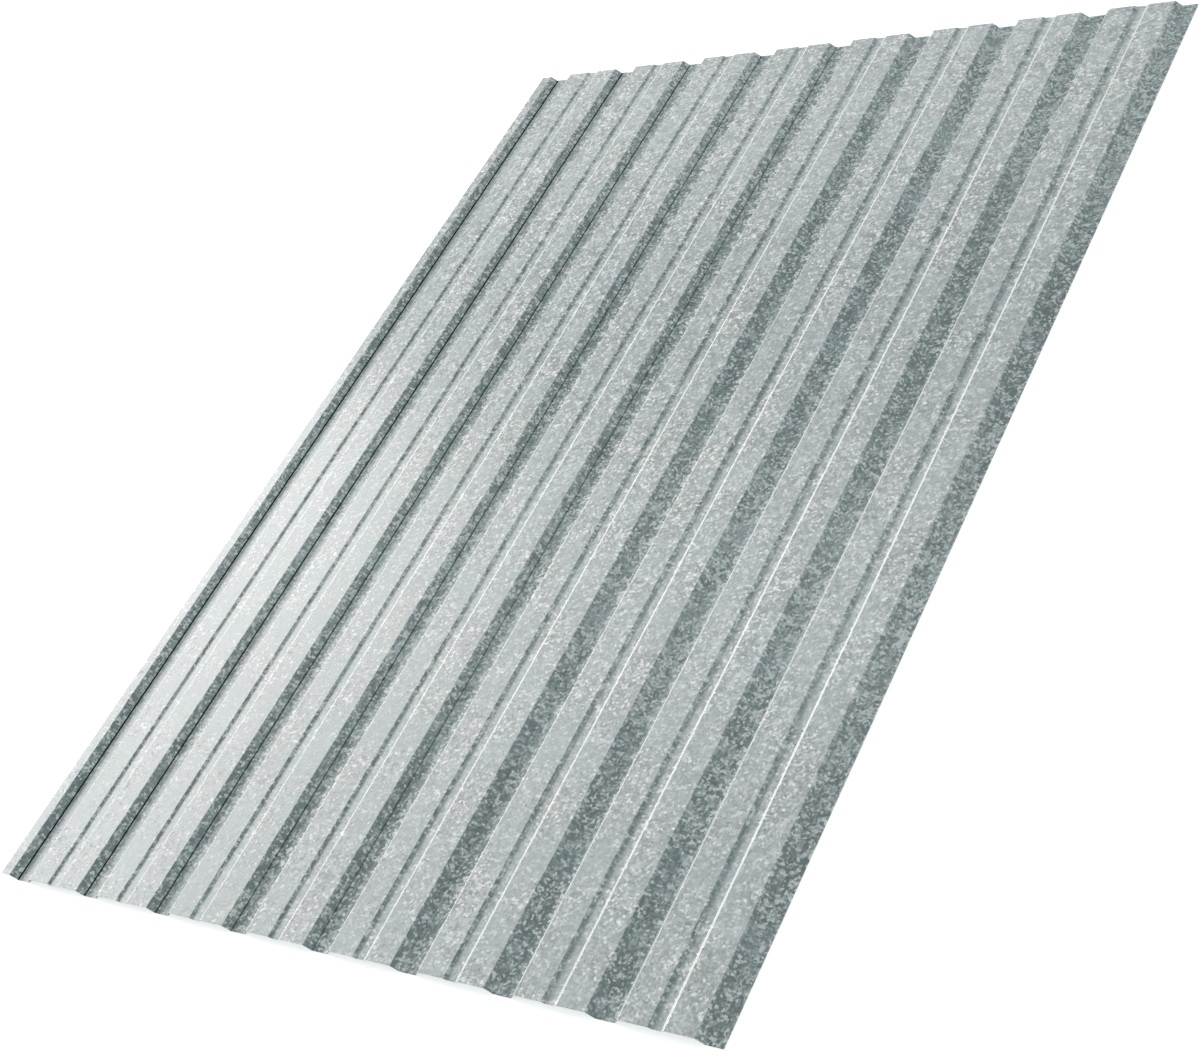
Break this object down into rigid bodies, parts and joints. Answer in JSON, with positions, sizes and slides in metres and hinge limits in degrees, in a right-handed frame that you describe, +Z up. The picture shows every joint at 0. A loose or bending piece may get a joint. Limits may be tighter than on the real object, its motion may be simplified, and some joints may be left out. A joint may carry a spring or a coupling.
{
  "type": "corrugated metal sheet",
  "caption": "Galvanised steel sheet roll formed into low trapezoidal ribs, with wide grooved crowns, narrow valleys and flat lap edges, for walls, fences and roofs.",
  "frame": {"origin": "floor level under the middle of the sheet, on the plane of the valleys' undersides", "axes": "+X across the ribs from the lap flange to the under flange, +Y along the ribs, +Z up from the valleys to the crowns"},
  "size_m": [1.18, 1.7, 0.01],
  "materials": {
    "galvanised_steel": "hot-dip zinc with a regular spangle, satin"
  },
  "bodies": {
    "root": {"profiled_sheet": "galvanised_steel"}
  },
  "joints": []
}
